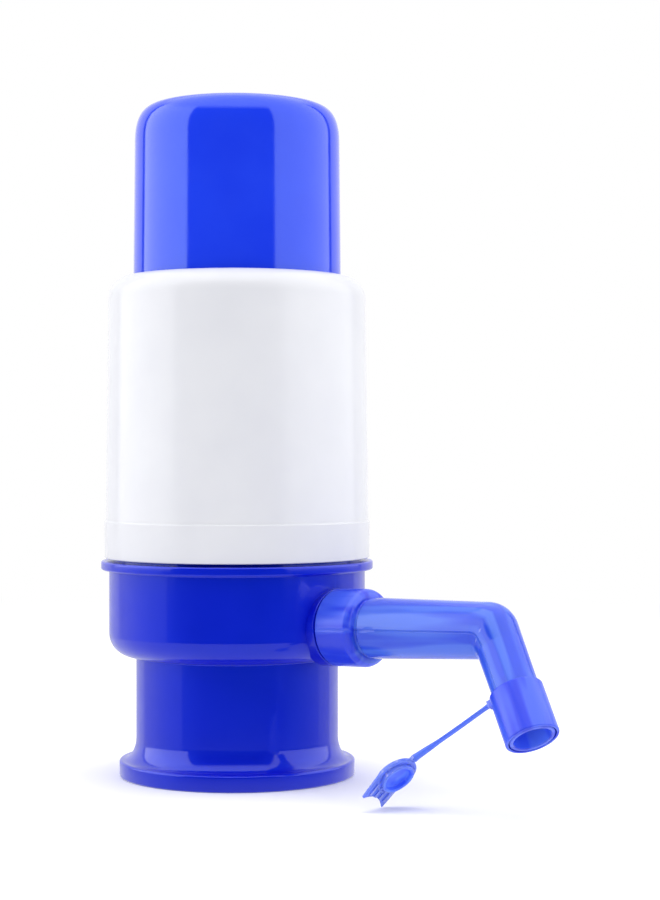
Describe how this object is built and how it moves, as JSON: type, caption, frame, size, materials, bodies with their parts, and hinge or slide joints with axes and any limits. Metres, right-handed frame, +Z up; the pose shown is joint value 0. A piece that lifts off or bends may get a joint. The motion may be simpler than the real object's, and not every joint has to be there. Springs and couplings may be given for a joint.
{
  "type": "water jug hand pump",
  "caption": "Hand pump for a large water bottle: a press knob over a barrel squeezes a bellows, and water rises through the base to a swivelling spout with a tethered dust cap.",
  "frame": {"origin": "on the pump's axis, in the plane of the foot, at the centre of the mouth that takes the bottle's neck", "axes": "+Z up along the pump's axis, +X outwards along the spout's arm, +Y to the left of the arm seen from above the pump looking out"},
  "size_m": [0.1577, 0.0804, 0.1998],
  "materials": {
    "blue_gloss": "glossy deep blue moulded plastic",
    "knob_blue": "polished bright blue moulded plastic",
    "white_shell": "satin white moulded plastic",
    "clear_blue": "soft, slightly milky blue plastic",
    "inner_white": "plain moulded plastic",
    "bellows_natural": "blow-moulded natural polyethylene",
    "silicone": "translucent food-grade silicone",
    "spring_steel": "bright drawn stainless wire"
  },
  "bodies": {
    "root": {"base_collar": "blue_gloss", "neck_gasket": "silicone", "dip_tube_socket": "silicone", "valve_deck": "inner_white", "deck_seal": "silicone", "bellows": "bellows_natural", "clamp_ring": "inner_white", "return_spring": "spring_steel", "body_cover": "white_shell", "spout_seal": "silicone"},
    "knob": {"press_knob": "knob_blue", "bellows_cap": "inner_white"},
    "inlet": {"inlet_valve": "silicone"},
    "outlet": {"outlet_valve": "silicone"},
    "spout": {"spout": "clear_blue"},
    "ring": {"tether_ring": "clear_blue"},
    "strap_a": {"strap_link_1": "clear_blue"},
    "strap_b": {"strap_link_2": "clear_blue"},
    "strap_c": {"strap_link_3": "clear_blue"},
    "cap": {"dust_cap": "clear_blue"}
  },
  "joints": [
    {"name": "knob_press", "type": "slide", "parent": "root", "child": "knob", "axis": [0, 0, -1], "range_m": [0, 0.038], "stiffness_N_per_m": 300, "springref_m": -0.033, "deforming": ["bellows", "return_spring"]},
    {"name": "inlet_lift", "type": "slide", "parent": "knob", "child": "inlet", "axis": [0, 0, -1], "range_m": [0, 0.0008], "stiffness_N_per_m": 20, "springref_m": -0.0008},
    {"name": "outlet_lift", "type": "slide", "parent": "root", "child": "outlet", "axis": [0, 0, -1], "range_m": [0, 0.0008], "stiffness_N_per_m": 20, "springref_m": -0.0008},
    {"name": "spout_swivel", "type": "hinge", "parent": "root", "child": "spout", "pos_m": [0.045, 0, 0.04581], "axis": [0.9992, 0, 0.0401], "range_deg": [-70, 108]},
    {"name": "ring_turn", "type": "hinge", "parent": "spout", "child": "ring", "pos_m": [0.10776, -0.0072, 0.02715], "axis": [-0.5545, 0.2748, 0.7855], "range_deg": [-150, 150]},
    {"name": "strap_root_bend", "type": "hinge", "parent": "ring", "child": "strap_a", "pos_m": [0.09675, -0.00757, 0.02882], "axis": [0.0886, -0.9191, 0.384], "range_deg": [-6.5, 18.2]},
    {"name": "strap_bend", "type": "hinge", "parent": "strap_a", "child": "strap_b", "pos_m": [0.09076, -0.01021, 0.02388], "axis": [0.0886, -0.9191, 0.384], "range_deg": [-20, 58], "stiffness_Nm_per_rad": 0.006, "springref_deg": -1.43},
    {"name": "strap_end_bend", "type": "hinge", "parent": "strap_b", "child": "strap_c", "pos_m": [0.08466, -0.01281, 0.01907], "axis": [0.0886, -0.9191, 0.384], "range_deg": [-20.5, 58.5]},
    {"name": "cap_bend", "type": "hinge", "parent": "strap_c", "child": "cap", "pos_m": [0.07844, -0.01537, 0.01437], "axis": [0.0886, -0.9191, 0.384], "range_deg": [-4.2, 11.6]}
  ],
  "couplings": [
    {"joint": "strap_root_bend", "follows": "strap_bend", "ratio": 0.309},
    {"joint": "strap_end_bend", "follows": "strap_bend", "ratio": 1},
    {"joint": "cap_bend", "follows": "strap_bend", "ratio": 0.194}
  ]
}
